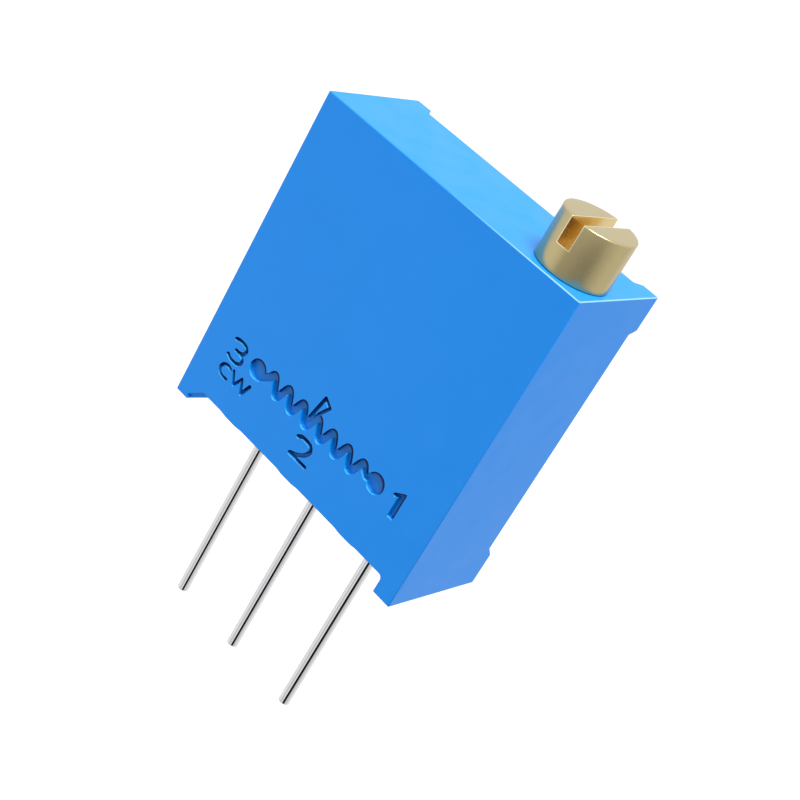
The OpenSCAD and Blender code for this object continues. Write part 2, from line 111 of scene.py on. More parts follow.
class ScrewSettings(bpy.types.PropertyGroup):
    brass: colour("Brass", "Colour of the turned screw", "#C2B384")
    slot_brass: colour("Slot brass", "Colour of the freshly sawn slot", "#E6CE95")
    slot_width: length("Slot width", "Width of the screwdriver slot", 0.42, 0.8)
    slot_depth: length("Slot depth", "Depth of the screwdriver slot", 0.76, 1.2)
    slot_angle: FloatProperty(name="Slot angle", default=math.radians(-3),
                              description="Turn of the slot from the front-to-back line",
                              subtype="ANGLE", unit="ROTATION")
    facets: whole("Facets", "Points round the screw", 96, 24, 160)


class PinSettings(bpy.types.PropertyGroup):
    tin: colour("Tin", "Colour of the tinned pins", "#E4E4E6")
    tip_radius: length("Tip radius", "Rounding at the cut tip", 0.02, 0.1)
    facets: whole("Facets", "Points round a pin", 40, 16, 96)


class PottingSettings(bpy.types.PropertyGroup):
    resin: colour("Resin", "Colour of the potting", "#8FA9C4")
    creep: length("Creep", "How far the potting climbs up the walls", 0.04, 0.05)
    reach: length("Reach", "How far from a wall the climb dies out", 0.22, 1.0)


class StageSettings(bpy.types.PropertyGroup):
    lens: FloatProperty(name="Lens", description="Focal length of the camera", default=73.70,
                        subtype="DISTANCE_CAMERA")
    world: FloatProperty(name="World", description="Strength of the white surroundings",
                         default=0.55, min=0, max=2)
    sun: FloatProperty(name="Sun", description="Strength of the wide overhead lamp",
                       default=4.1, min=0, max=10)
    floor_drop: length("Floor drop", "Distance of the floor below the seating plane", 30, 100)


# ---- meshes ----

def new_piece(name, verts_mm, faces, body, replaced):
    """Makes a mesh object from points in millimetres, and puts it on a body in place of CAD parts.
    """
    mesh = bpy.data.meshes.new(name)
    mesh.from_pydata((np.asarray(verts_mm) * MM).tolist(), [], faces)
    mesh.validate()
    return dress(name, mesh, body, replaced)


def dress(name, mesh, body, replaced):
    """Puts a mesh into the scene as a piece that rides on a body."""
    piece = bpy.data.objects.new(name, mesh)
    bpy.context.scene.collection.objects.link(piece)
    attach(piece, body)
    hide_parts(*replaced)
    return piece


def smooth(mesh, degrees):
    """Shades a mesh smooth, apart from the edges that turn by more than an angle."""
    mesh.shade_smooth()
    mesh.set_sharp_from_angle(angle=math.radians(degrees))


def tube_faces(rows, count):
    """Faces of a closed surface whose points run ring by ring, with one point at each end: quads
    between the rings, and a fan of triangles from each end point."""
    i = np.arange(count)
    j = (i + 1) % count
    base = 1 + count * np.arange(rows - 1)[:, None]
    quads = np.stack([base + i, base + j, base + j + count, base + i + count], -1).reshape(-1, 4)
    last = 1 + count * (rows - 1)
    low = np.stack([np.zeros(count, int), 1 + j, 1 + i], -1)
    high = np.stack([last + i, last + j, np.full(count, last + count)], -1)
    return low.tolist() + quads.tolist() + high.tolist()


def tube_points(x, y, z):
    """Points for tube_faces from arrays with a row per ring, closed on the axis at both ends."""
    ends = [[x[k].mean(), y[k].mean(), z[k].mean()] for k in (0, -1)]
    return np.vstack([ends[0], np.stack([x, y, z], -1).reshape(-1, 3), ends[1]])


def block_faces(nx, nz):
    """Faces of a closed block whose points are two grids of nx by nz, the rear one first: the rear
    grid's quads, walls between the two outlines, and one flat face at the front."""
    total = nx * nz
    k = (np.arange(nx - 1)[:, None] * nz + np.arange(nz - 1)).reshape(-1)
    rear = np.stack([k, k + 1, k + nz + 1, k + nz], -1)
    rim = np.concatenate([np.arange(nx) * nz, (nx - 1) * nz + np.arange(1, nz),
                          np.arange(nx - 2, -1, -1) * nz + nz - 1, np.arange(nz - 2, 0, -1)])
    after = np.roll(rim, -1)
    walls = np.stack([rim, after, after + total, rim + total], -1)
    return rear.tolist() + walls.tolist() + [(rim + total).tolist()]


def blend_step(t):
    """Rises from 0 to 1 as t goes from 0 to 1, level at both ends: three t squared less two t
    cubed."""
    t = np.clip(t, 0, 1)
    return t * t * (3 - 2 * t)


def quarter_round(radius, steps=5):
    """Points of a quarter circle that starts along a wall: their distances from the wall, radius
    times one less the cosine, and their distances along it, radius times the sine."""
    turn = np.linspace(0, math.pi / 2, steps)
    return radius * (1 - np.cos(turn)), radius * np.sin(turn)


# ---- materials ----

def new_material(name, roughness, metallic=0.0, ior=1.5):
    """Starts a material: its node tree, its shader and the object's own coordinates."""
    material = bpy.data.materials.new(name)
    material.use_nodes = True
    tree = material.node_tree
    shader = tree.nodes["Principled BSDF"]
    shader.inputs["Roughness"].default_value = roughness
    shader.inputs["Metallic"].default_value = metallic
    shader.inputs["IOR"].default_value = ior
    place = tree.nodes.new("ShaderNodeTexCoord").outputs["Object"]
    return material, tree, shader, place


def add(tree, kind, inputs, **settings):
    """Adds a node. inputs gives a socket's value, or the output that it is linked to."""
    node = tree.nodes.new(kind)
    for key, value in settings.items():
        setattr(node, key, value)
    for key, value in inputs.items():
        if isinstance(value, bpy.types.NodeSocket):
            tree.links.new(value, node.inputs[key])
        else:
            node.inputs[key].default_value = value
    return node


def maths(tree, operation, *values):
    """Output of a node that works out an operation on one or two values."""
    return add(tree, "ShaderNodeMath", dict(enumerate(values)), operation=operation).outputs[0]


def ramp(tree, value, start, end, low=0.0, high=1.0):
    """Output that goes from low to high as a value goes from start to end, level outside."""
    return add(tree, "ShaderNodeMapRange", {"Value": value, "From Min": start, "From Max": end,
                                            "To Min": low, "To Max": high}).outputs[0]


def tint(tree, amount, tone, other):
    """Output that mixes a tone with another one by an amount. A hex text gives a fixed tone."""
    tones = [linear(c) + (1.0,) if isinstance(c, str) else c for c in (tone, other)]
    return add(tree, "ShaderNodeMix", {0: amount, 6: tones[0], 7: tones[1]},
               data_type="RGBA").outputs[2]


def clouds(tree, place, size_mm, detail):
    """Output of noise whose clouds are size_mm across."""
    return add(tree, "ShaderNodeTexNoise", {"Vector": place, "Scale": 1 / (size_mm * MM),
                                            "Detail": detail}).outputs[0]


def shade(rgb, factor):
    """A colour made lighter or darker by a factor, with alpha."""
    return tuple(min(1.0, c * factor) for c in rgb) + (1.0,)


def vary(tree, shader, place, rgb, size_mm, amount, dark=0.9, bright=1.08):
    """Cloudy change of colour: noise mixes a darker and a lighter tone. Returns the tone."""
    level = ramp(tree, clouds(tree, place, size_mm, 3.0), 0.5 - 0.5 / amount, 0.5 + 0.5 / amount)
    tone = tint(tree, level, shade(rgb, dark), shade(rgb, bright))
    tree.links.new(tone, shader.inputs["Base Color"])
    return tone


def relief(tree, shader, height, height_mm, strength):
    """Bump of a real height."""
    bump = add(tree, "ShaderNodeBump", {"Height": height, "Distance": height_mm * MM,
                                        "Strength": strength})
    tree.links.new(bump.outputs["Normal"], shader.inputs["Normal"])


def grain(tree, shader, place, size_mm, height_mm, strength, stretch=(1, 1, 1)):
    """Fine relief: noise of a real grain size as bump, stretched for drawn or turned metal."""
    mapping = add(tree, "ShaderNodeMapping", {"Vector": place, "Scale": stretch})
    height = clouds(tree, mapping.outputs["Vector"], size_mm, 2.0)
    relief(tree, shader, height, height_mm, strength)


def rough_patches(tree, shader, place, size_mm, low, high):
    """Lets the roughness wander between two values, in patches of a real size."""
    level = ramp(tree, clouds(tree, place, size_mm, 2.0), 0.3, 0.7, low, high)
    tree.links.new(level, shader.inputs["Roughness"])


def moulded_polyester(rgb):
    """Glass-filled polyester, injection moulded in a lightly spark-eroded tool: an even satin blue
    whose grain is finer than the eye resolves, with a painted highlight along the top rim, deeper
    along the upright corners, with painted shade in the marks and a painted highlight on their
    lower lips."""
    material, tree, shader, place = new_material("moulded_polyester_satin", 0.36)
    shader.inputs["Specular IOR Level"].default_value = 0.25
    tone = vary(tree, shader, place, rgb, 1.6, 1.2, 0.985, 1.015)
    grain(tree, shader, place, 0.03, 0.002, 0.35)
    rough_patches(tree, shader, place, 0.8, 0.32, 0.40)
    # Distance from the side, top and front planes. The larger of two is small along their edge.
    axes = add(tree, "ShaderNodeSeparateXYZ", {"Vector": place}).outputs
    side = maths(tree, "SUBTRACT", float(CASE_HIGH[0]) * MM, maths(tree, "ABSOLUTE", axes["X"]))
    top = maths(tree, "SUBTRACT", float(CASE_HIGH[2]) * MM, axes["Z"])
    front = maths(tree, "SUBTRACT", axes["Y"], float(CASE_LOW[1]) * MM)
    rim = maths(tree, "MAXIMUM", maths(tree, "MINIMUM", side, front), top)
    corner = maths(tree, "MAXIMUM", side, front)
    # The top rim's painted highlight is strongest beside the screw.
    rim_highlight = ramp(tree, axes["X"], 0.0, 3.2 * MM, 0.05, 0.6)
    for distance, reach_mm, amount, other in ((rim, 0.035, rim_highlight, "#BCEAFF"),
                                              (corner, 0.03, 0.35, "#0A5FB8")):
        level = ramp(tree, distance, 0.4 * reach_mm * MM, reach_mm * MM, amount, 0.0)
        tone = tint(tree, level, tone, other)
    # Painted shade in the marks, and a painted highlight on their lower lips
    for name, other in (("mark_shade", "#00145E"), ("mark_lip_highlight", "#5CC4FF")):
        mask = add(tree, "ShaderNodeAttribute", {}, attribute_name=name).outputs["Fac"]
        tone = tint(tree, mask, tone, other)
    tree.links.new(tone, shader.inputs["Base Color"])
    return material


def slot_rim_highlight(tree, shader, place, tone, slot_angle, half, floor_z):
    """Painted highlight along the slot's edges: pale where a point lies less than about 0.02 mm
    outside the slot's section."""
    axis = (SCREW_AXIS[0] * MM, SCREW_AXIS[1] * MM, 0)
    turned = add(tree, "ShaderNodeMapping", {"Vector": place, "Location": axis,
                                             "Rotation": (0, 0, slot_angle)},
                 vector_type="TEXTURE")
    axes = add(tree, "ShaderNodeSeparateXYZ", {"Vector": turned.outputs["Vector"]}).outputs
    beside = maths(tree, "SUBTRACT", maths(tree, "ABSOLUTE", axes["X"]), half)
    below = maths(tree, "SUBTRACT", floor_z, axes["Z"])
    level = ramp(tree, maths(tree, "MAXIMUM", beside, below), 0.014 * MM, 0.03 * MM, 0.85, 0.0)
    tree.links.new(tint(tree, level, tone, "#FFF2D2"), shader.inputs["Base Color"])


def turned_brass(name, rgb, slot=None):
    """Free-cutting brass, turned on an automatic lathe and tumbled: fine rings round the axis, a
    satin shine and slightly browner patches. slot is what the painted highlight on the slot's
    rims needs to know of the slot."""
    material, tree, shader, place = new_material(name, 0.26, metallic=1.0)
    tone = vary(tree, shader, place, rgb, 0.9, 1.3, 0.97, 1.02)
    if slot:
        # A painted highlight along the slot's rims
        slot_rim_highlight(tree, shader, place, tone, *slot)
    # Tool rings are about 0.02 mm apart. They are drawn at 0.05 mm so that they show.
    grain(tree, shader, place, 0.05, 0.002, 0.04, stretch=(0.02, 0.02, 1.0))
    rough_patches(tree, shader, place, 0.3, 0.26, 0.275)
    return material


def tinned_copper(rgb):
    """Drawn copper wire with a bright tin plate: a clear shine with faint lines along the wire."""
    material, tree, shader, place = new_material("tinned_copper_drawn", 0.05, metallic=1.0)
    vary(tree, shader, place, rgb, 0.8, 1.2, 0.95, 1.03)
    grain(tree, shader, place, 0.02, 0.001, 0.03, stretch=(1, 1, 0.02))
    rough_patches(tree, shader, place, 0.4, 0.03, 0.06)
    return material


def cast_epoxy(rgb):
    """Filled epoxy poured from a needle and cured flat: glossy, cloudy from its filler, with
    pinhole dimples."""
    material, tree, shader, place = new_material("cast_epoxy_filled", 0.22)
    vary(tree, shader, place, rgb, 0.5, 1.5, 0.9, 1.06)
    cells = add(tree, "ShaderNodeTexVoronoi", {"Vector": place, "Scale": 1 / (0.45 * MM)})
    relief(tree, shader, ramp(tree, cells.outputs["Distance"], 0.03, 0.1), 0.02, 0.6)
    rough_patches(tree, shader, place, 0.6, 0.18, 0.3)
    return material


def moulded_acetal():
    """Natural acetal, injection moulded: milky white, waxy and slightly translucent."""
    material, tree, shader, place = new_material("moulded_acetal_natural", 0.35, ior=1.48)
    vary(tree, shader, place, linear("#ECE9E0"), 0.8, 1.2, 0.97, 1.02)
    grain(tree, shader, place, 0.04, 0.002, 0.3)
    shader.inputs["Subsurface Weight"].default_value = 0.1
    shader.inputs["Subsurface Scale"].default_value = 0.3 * MM
    return material


def stamped_alloy():
    """Precious-metal contact alloy, rolled and stamped: warm pale metal with rolling lines."""
    material, tree, shader, place = new_material("stamped_contact_alloy", 0.22, metallic=1.0)
    vary(tree, shader, place, linear("#DCC493"), 0.5, 1.2, 0.95, 1.03)
    grain(tree, shader, place, 0.02, 0.001, 0.3, stretch=(0.03, 1, 1))
    return material


def fired_alumina():
    """Fired alumina plate: chalky white and dry, with a fine sintered grain."""
    material, tree, shader, place = new_material("fired_alumina_sintered", 0.7, ior=1.76)
    vary(tree, shader, place, linear("#EFECE6"), 0.7, 1.3, 0.97, 1.01)
    grain(tree, shader, place, 0.03, 0.003, 0.5)
    return material


def cermet_ink():
    """Screen-printed resistive ink, fired: near black and glassy, with the mesh's faint dimples."""
    material, tree, shader, place = new_material("fired_cermet_ink", 0.3)
    vary(tree, shader, place, linear("#26262A"), 0.25, 1.6, 0.8, 1.2)
    grain(tree, shader, place, 0.05, 0.003, 0.5)
    return material


def silver_ink():
    """Screen-printed silver-palladium ink, fired: dull pale metal, slightly speckled."""
    material, tree, shader, place = new_material("fired_silver_ink", 0.45, metallic=1.0)
    vary(tree, shader, place, linear("#C6C4BE"), 0.2, 1.6, 0.9, 1.05)
    grain(tree, shader, place, 0.04, 0.003, 0.5)
    return material


def reflowed_solder():
    """Reflowed tin solder: a soft grey shine with a slightly frosted skin."""
    material, tree, shader, place = new_material("reflowed_solder_frosted", 0.3, metallic=1.0)
    vary(tree, shader, place, linear("#C9CACC"), 0.3, 1.4, 0.9, 1.05)
    grain(tree, shader, place, 0.05, 0.003, 0.4)
    return material


def moulded_rubber():
    """Silicone O-ring, compression moulded: dark, dull and slightly dusty."""
    material, tree, shader, place = new_material("moulded_silicone_rubber", 0.55)
    vary(tree, shader, place, linear("#1D1D1F"), 0.3, 1.4, 0.8, 1.3)
    grain(tree, shader, place, 0.03, 0.002, 0.4)
    return material


def stamped_steel():
    """Stainless retainer, blanked from strip: grey with rolling lines across it."""
    material, tree, shader, place = new_material("stamped_stainless_strip", 0.28, metallic=1.0)
    vary(tree, shader, place, linear("#B9B9B8"), 0.5, 1.3, 0.93, 1.03)
    grain(tree, shader, place, 0.02, 0.001, 0.4, stretch=(1, 0.03, 1))
    return material


# ---- the housing and its sunken marks ----

# The marks are terminal numbers, the turning direction and the sign of a resistor with a wiper.
# Each is a pen stroke: half its width, then the points that its middle runs through, as x and z.
MARK_CURVES = [
    # 3
    (0.06, [(-3.68, 2.64), (-3.58, 2.68), (-3.42, 2.69), (-3.25, 2.66), (-3.17, 2.56),
            (-3.22, 2.43), (-3.35, 2.37), (-3.50, 2.36)]),
    (0.06, [(-3.35, 2.36), (-3.21, 2.30), (-3.15, 2.19), (-3.21, 2.08), (-3.36, 2.02),
            (-3.56, 2.03), (-3.70, 2.10)]),
    # C
    (0.055, [(-3.37, 1.78), (-3.50, 1.81), (-3.64, 1.77), (-3.72, 1.67), (-3.72, 1.56),
             (-3.64, 1.46), (-3.50, 1.42), (-3.36, 1.43)]),
    # 2
    (0.07, [(-0.31, 1.80), (-0.19, 1.87), (-0.02, 1.88), (0.17, 1.85), (0.26, 1.74),
            (0.24, 1.62), (0.11, 1.45), (-0.08, 1.33), (-0.30, 1.24)]),
]
MARK_LINES = [
    # W
    (0.05, [(-3.24, 1.82), (-3.05, 1.47)]),
    (0.05, [(-3.05, 1.47), (-2.86, 1.81)]),
    (0.055, [(-2.86, 1.81), (-2.68, 1.42)]),
    (0.06, [(-2.68, 1.42), (-2.51, 1.81)]),
    # Foot of the 2
    (0.065, [(-0.31, 1.22), (0.35, 1.23)]),
    # Flag of the 1
    (0.065, [(3.20, 2.66), (3.46, 2.82)]),
    # Wiper's arrow
    (0.06, [(-0.32, 2.42), (-0.13, 3.29)]),
    (0.06, [(-0.13, 3.29), (0.13, 3.14)]),
    (0.055, [(0.13, 3.14), (-0.09, 2.76)]),
]
# The resistor sign: a wave from its first crest to its last, its middle height and swing, half
# the stroke's width, how far the wave runs on past the end crests, and the lines to the pads
WAVE_X, WAVE_Z, WAVE_HALF, WAVE_RUN = (-1.93, 1.913), (2.43, 0.25), 0.125, 0.12
WAVE_START, WAVE_END = [(-2.40, 2.24), (-2.17, 2.42)], [(2.15, 2.43), (2.30, 2.44)]
MARK_PADS = [(0.32, (-2.546, 2.41)), (0.32, (2.508, 2.47))]
# Stem of the 1: its middle and half sizes, and the slope by which its top falls to the left
MARK_BAR = ((3.408, 2.46), (0.108, 0.45))
MARK_BAR_SLOPE = 0.68
# Field of the face that holds every mark, and the slightly smaller grid that cuts them
FIELD_X, FIELD_Z = (-3.85, 3.6), (1.1, 3.42)
GRID_X, GRID_Z = (-3.82, 3.60), (1.12, 3.40)
WALL_SLOPE = 8  # how many millimetres a mark's wall falls for each one inwards
# How far the cutter's grid and its flat side lie in front of the housing
GRID_FRONT, BLOCK_FRONT = 0.15, 0.2
# Painted shade in the marks: how far it reaches below an upper edge on a wall, the further
# reach in x and z on the floor, and its strength in thin strokes, in the 1's stem, on floors and
# on walls
WALL_REACH, FLOOR_REACH = 0.09, (0.125, 0.065)
THIN_PAINTED_SHADE, STEM_PAINTED_SHADE, FLOOR_PAINTED_SHADE, WALL_PAINTED_SHADE = 0.38, 0.25, 0.2, 0.35
# Strength of the painted highlight on the marks' lower lips
LIP_PAINTED_HIGHLIGHT = 0.8


def wave_line():
    """Middle of the resistor sign's stroke: a cosine of the distance from its first crest, over
    seven crests, and a short run into each pad."""
    x = np.linspace(WAVE_X[0] - WAVE_RUN, WAVE_X[1] + WAVE_RUN, 145)
    turn = 12 * math.pi * (x - WAVE_X[0]) / (WAVE_X[1] - WAVE_X[0])
    z = WAVE_Z[0] + WAVE_Z[1] * np.cos(turn)
    return np.vstack([WAVE_START, np.stack([x, z], -1), WAVE_END])


def flowing(points, per_span=8):
    """A smooth line through points: each span is the cubic whose slope at a point is half the step
    between its neighbours."""
    p = np.asarray(points, float)
    slope = np.empty_like(p)
    slope[1:-1] = (p[2:] - p[:-2]) / 2
    slope[0], slope[-1] = p[1] - p[0], p[-1] - p[-2]
    t = np.linspace(0, 1, per_span, endpoint=False)[None, :, None]
    a, b = p[:-1, None], p[1:, None]
    m, n = slope[:-1, None], slope[1:, None]
    curve = ((2 * t**3 - 3 * t**2 + 1) * a + (t**3 - 2 * t**2 + t) * m
             + (3 * t**2 - 2 * t**3) * b + (t**3 - t**2) * n)
    return np.vstack([curve.reshape(-1, 2), p[-1]])


def inside_stroke(x, z, half, line):
    """How far points lie inside a pen stroke: half its width less the distance to the nearest
    segment."""
    line = np.asarray(line, float)
    a, d = line[:-1], np.diff(line, axis=0)
    px, pz = x[..., None] - a[:, 0], z[..., None] - a[:, 1]
    t = np.clip((px * d[:, 0] + pz * d[:, 1]) / (d**2).sum(1), 0, 1)
    return half - np.hypot(px - t * d[:, 0], pz - t * d[:, 1]).min(-1)


def inside_letters(x, z):
    """How far points lie inside the nearest thin stroke. It is negative outside every one."""
    strokes = [(half, flowing(points)) for half, points in MARK_CURVES] + MARK_LINES
    return np.max([inside_stroke(x, z, half, line) for half, line in strokes], 0)


def inside_marks(x, z):
    """How far points lie inside the nearest mark. It is negative outside every mark. The pads are
    discs, and the 1's stem is a bar whose top is cut off at a slope."""
    deep = np.maximum(inside_stroke(x, z, WAVE_HALF, wave_line()), inside_letters(x, z))
    for radius, (cx, cz) in MARK_PADS:
        deep = np.maximum(deep, radius - np.hypot(x - cx, z - cz))
    (cx, cz), (half_x, half_z) = MARK_BAR
    slant = cz + half_z - z - MARK_BAR_SLOPE * (cx + half_x - x)
    slant = slant / np.hypot(1, MARK_BAR_SLOPE)
    return np.maximum(deep, np.min([half_x - np.abs(x - cx), half_z - np.abs(z - cz), slant], 0))


def shade_marks(mesh, depth):
    """Writes two tones at the face corners of the marks. Painted shade lies below an upper edge,
    where the point a short step up is outside the mark, and thinner on the other walls and floors.
    The lower lip, which faces up, gets a painted highlight."""
    point = np.array([v.co for v in mesh.vertices]) / MM
    corner = np.array([loop.vertex_index for loop in mesh.loops])
    normal = np.repeat([face.normal for face in mesh.polygons],
                       [len(face.vertices) for face in mesh.polygons], 0)
    x, y, z = point[corner].T
    behind = y - CASE_LOW[1]
    sunk = (behind > -0.001) & (behind < depth + 0.001)
    sunk &= (x > FIELD_X[0]) & (x < FIELD_X[1]) & (z > FIELD_Z[0]) & (z < FIELD_Z[1])
    sunk &= ~((normal[:, 1] < -0.999) & (behind < 0.002))  # not the face itself
    shade, lip = np.zeros(len(x)), np.zeros(len(x))
    x, z, up, behind = x[sunk], z[sunk], normal[sunk, 2], behind[sunk]
    # Painted highlight on the lower lips, which face up
    lip[sunk] = blend_step((up - 0.5) / 0.4) * blend_step(1.4 - behind / 0.04)
    floor = behind > depth - 0.005
    step_x, step_z = FLOOR_REACH[0] * floor, WALL_REACH + FLOOR_REACH[1] * floor
    below_edge = blend_step((0.01 - inside_marks(x + step_x, z + step_z)) / 0.025)
    wall = ~floor * blend_step(behind / 0.04)
    thin = blend_step(inside_letters(x, z) / 0.01 + 1)
    stem = np.abs(x - MARK_BAR[0][0]) < MARK_BAR[1][0] + 0.01
    # Painted shade: the shadow below an upper edge, and thinner shade on strokes, stem, floors and
    # walls
    painted_shade = np.max([below_edge, THIN_PAINTED_SHADE * thin, STEM_PAINTED_SHADE * stem, FLOOR_PAINTED_SHADE * floor,
                    WALL_PAINTED_SHADE * wall], 0)
    shade[sunk] = painted_shade * (1 - lip[sunk])
    for name, value in (("mark_shade", shade), ("mark_lip_highlight", LIP_PAINTED_HIGHLIGHT * lip)):
        mesh.attributes.new(name, "FLOAT", "CORNER").data.foreach_set("value", value)


def flatten(mesh):
    """Shades the large faces that lie square to an axis flat, so that the small rounds beside them
    don't tilt their shading."""
    for face in mesh.polygons:
        if face.area > 0.02 * MM**2 and max(abs(c) for c in face.normal) > 0.9999:
            face.use_smooth = False


def marks_cutter(depth, step):
    """Solid that cuts the marks: a block in front of the face whose back is a grid. A grid point
    lies behind the face by its distance inside a mark times the walls' slope, down to the marks'
    depth, and in front of the face outside every mark."""
    x, z = np.meshgrid(np.arange(*GRID_X, step), np.arange(*GRID_Z, step), indexing="ij")
    deep = inside_marks(x, z)
    # A point in the plane of the face would leave faces without area, so it goes a little in front.
    deep = np.where(np.abs(deep) < 0.0005, -0.0005, deep)
    y = CASE_LOW[1] + np.clip(deep * WALL_SLOPE, -GRID_FRONT, depth)
    back = np.stack([x, y, z], -1).reshape(-1, 3)
    front = back.copy()
    front[:, 1] = CASE_LOW[1] - BLOCK_FRONT
    mesh = bpy.data.meshes.new("marks_cutter")
    mesh.from_pydata((np.vstack([back, front]) * MM).tolist(), [], block_faces(*x.shape))
    return mesh


def cut(mesh, cutter):
    """Takes a cutter's volume out of a mesh and returns the result."""
    objects = [bpy.data.objects.new(m.name, m) for m in (mesh, cutter)]
    for item in objects:
        bpy.context.scene.collection.objects.link(item)
    change = objects[0].modifiers.new("cut", "BOOLEAN")
    change.object, change.solver, change.operation = objects[1], "EXACT", "DIFFERENCE"
    view = bpy.context.evaluated_depsgraph_get()
    result = bpy.data.meshes.new_from_object(objects[0].evaluated_get(view))
    for item in objects:
        bpy.data.objects.remove(item)
    return result


def outer_edges(part):
    """Edges on the housing's outside that the mould leaves slightly round: sharp ones on the side,
    top, front or foot planes, but not the rim of the screw's bore or the slots of the pins."""
    low, high = CASE_LOW * MM, CASE_HIGH * MM
    near, foot_x, bore_r = 0.002 * MM, 3.7 * MM, 1.0 * MM
    axis_x, axis_y = SCREW_AXIS * MM
    chosen = []
    for edge in part.edges:
        sharp = len(edge.link_faces) == 2 and edge.calc_face_angle() >= math.radians(25)
        if not sharp or not edge.is_convex:
            continue
        ends = [v.co for v in edge.verts]
        on_side = all(abs(v.x) > high[0] - near for v in ends)
        on_front = all(v.y < low[1] + near for v in ends)
        on_foot = all(v.z < low[2] + near and abs(v.x) > foot_x for v in ends)
        bore = all(math.hypot(v.x - axis_x, v.y - axis_y) < bore_r for v in ends)
        on_top = all(v.z > high[2] - near for v in ends) and not bore
        if on_side or on_front or on_foot or on_top:
            chosen.append(edge)
    return chosen


class TRIMMER_OT_housing(bpy.types.Operator):
    """Builds the moulded housing with rounded edges and sunken marks"""
    bl_idname = "trimmer.housing"
    bl_label = "Housing"

    def execute(self, context):
        settings = context.scene.trimmer_housing
        part = bmesh.new()
        part.from_mesh(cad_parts["housing"].data)
        bmesh.ops.remove_doubles(part, verts=part.verts, dist=0.0005 * MM)
        bmesh.ops.dissolve_limit(part, angle_limit=math.radians(0.5), verts=part.verts,
                                 edges=part.edges)
        bmesh.ops.bevel(part, geom=outer_edges(part), offset=settings.edge_radius, segments=3,
                        profile=0.5, affect="EDGES", clamp_overlap=True)
        shell = bpy.data.meshes.new("housing_shell")
        part.to_mesh(shell)
        part.free()
        depth = settings.mark_depth / MM
        shell = cut(shell, marks_cutter(depth, settings.mark_step / MM))
        shell.name = "housing_shell"
        shade_marks(shell, depth)
        smooth(shell, 30)
        flatten(shell)
        shell.materials.clear()
        shell.materials.append(moulded_polyester(tuple(settings.plastic)))
        piece = dress("housing_shell", shell, "case", ["housing"])
        level = piece.modifiers.new("flat_faces", "WEIGHTED_NORMAL")
        level.keep_sharp = True
        return {"FINISHED"}


# ---- the screw ----

NECK_R, JOURNAL_R, SEAL_R, CLIP_R = 0.8, 0.4, 0.46, 0.5
CLIP_DROP, SEAL_DROP = 1.4, 0.62  # grooves' middles below the housing's top
CLIP_HALF, SEAL_HALF = 0.15, 0.21  # half the grooves' widths
SHOULDER_DROP, PLAIN_RUN = 0.5, 1.08  # shoulder below the clip, and the plain shank under it
NECK_ROUND, HEAD_ROUND, HEAD_CHAMFER, HEAD_GAP = 0.03, 0.035, 0.015, 0.01
# The thread: its lead, radii of pitch, root and crest, play, the flank's angle, the heights
# between which it lies, and how soon it dies out at each end
LEAD, PITCH_R, ROOT_R, CREST_R = 0.6912, 0.62, 0.43, 0.77
PLAY, FLANK = 0.015, math.radians(20)
WORM_LOW, WORM_HIGH, WORM_FADE = 3.51, 7.14, 0.25
WORM_RINGS = 140
RIM_BREAK = 0.016  # how much the slot's sharp rims are broken
SLOT_MATERIAL = 1


def screw_rings():
    """Radius and height of each ring up the screw: the turned profile with small rounds."""
    top, head_r = SCREW_HIGH[2], (SCREW_HIGH[0] - SCREW_LOW[0]) / 2
    case_top, tip = CASE_HIGH[2], SCREW_LOW[2]
    clip_z, seal_z, under = case_top - CLIP_DROP, case_top - SEAL_DROP, case_top + HEAD_GAP
    shoulder = clip_z - SHOULDER_DROP + NECK_ROUND
    foot = [(0.25, tip), (JOURNAL_R - 0.06, tip), (JOURNAL_R - 0.02, tip + 0.015),
            (JOURNAL_R, tip + 0.06)]
    worm = [(JOURNAL_R, z) for z in np.linspace(WORM_LOW - 0.03, shoulder - PLAIN_RUN, WORM_RINGS)]
    neck = [(JOURNAL_R, shoulder), (NECK_R - NECK_ROUND, shoulder),
            (NECK_R, shoulder + NECK_ROUND)]
    for r, z, half in ((CLIP_R, clip_z, CLIP_HALF), (SEAL_R, seal_z, SEAL_HALF)):
        neck += [(NECK_R, z - half), (r, z - half), (r, z + half), (NECK_R, z + half)]
    head = [(NECK_R, under), (head_r - HEAD_CHAMFER, under), (head_r, under + HEAD_CHAMFER)]
    edge = [(head_r - a, top - HEAD_ROUND + b) for a, b in zip(*quarter_round(HEAD_ROUND))]
    face = [(r, top) for r in (0.9, 0.6, 0.3, 0.1)]
    return np.array(foot + worm + neck + head + edge + face)


def worm_radius(angle, z):
    """Radius of the thread: its crest turns once round per lead, and from there a flank falls by
    the distance along the axis over the tangent of the flank's angle, down to the root."""
    centre = (WHEEL_LOW[2] + WHEEL_HIGH[2]) / 2
    turn = (angle - 2 * math.pi * (z - centre) / LEAD) % (2 * math.pi)
    across = LEAD * np.minimum(turn, 2 * math.pi - turn) / (2 * math.pi)
    return np.clip(PITCH_R + (LEAD / 4 - PLAY - across) / math.tan(FLANK), ROOT_R, CREST_R)


def screw_blank(facets):
    """The whole screw before its slot is sawn: the rings, carried out to the thread along the
    worm, where it dies out at each end."""
    rings = screw_rings()
    angle = np.linspace(0, 2 * math.pi, facets, endpoint=False)[None]
    r, z = (np.repeat(column[:, None], facets, 1) for column in rings.T)
    in_worm = (z > WORM_LOW) & (z < WORM_HIGH) & (r < JOURNAL_R + 0.01)
    fade = blend_step((z - WORM_LOW) / WORM_FADE) * blend_step((WORM_HIGH - z) / WORM_FADE)
    r = np.where(in_worm, r + (worm_radius(angle, z) - r) * fade, r)
    points = tube_points(SCREW_AXIS[0] + r * np.cos(angle), SCREW_AXIS[1] + r * np.sin(angle), z)
    blank = bpy.data.meshes.new("screw_blank")
    blank.from_pydata((points * MM).tolist(), [], tube_faces(*z.shape))
    return blank


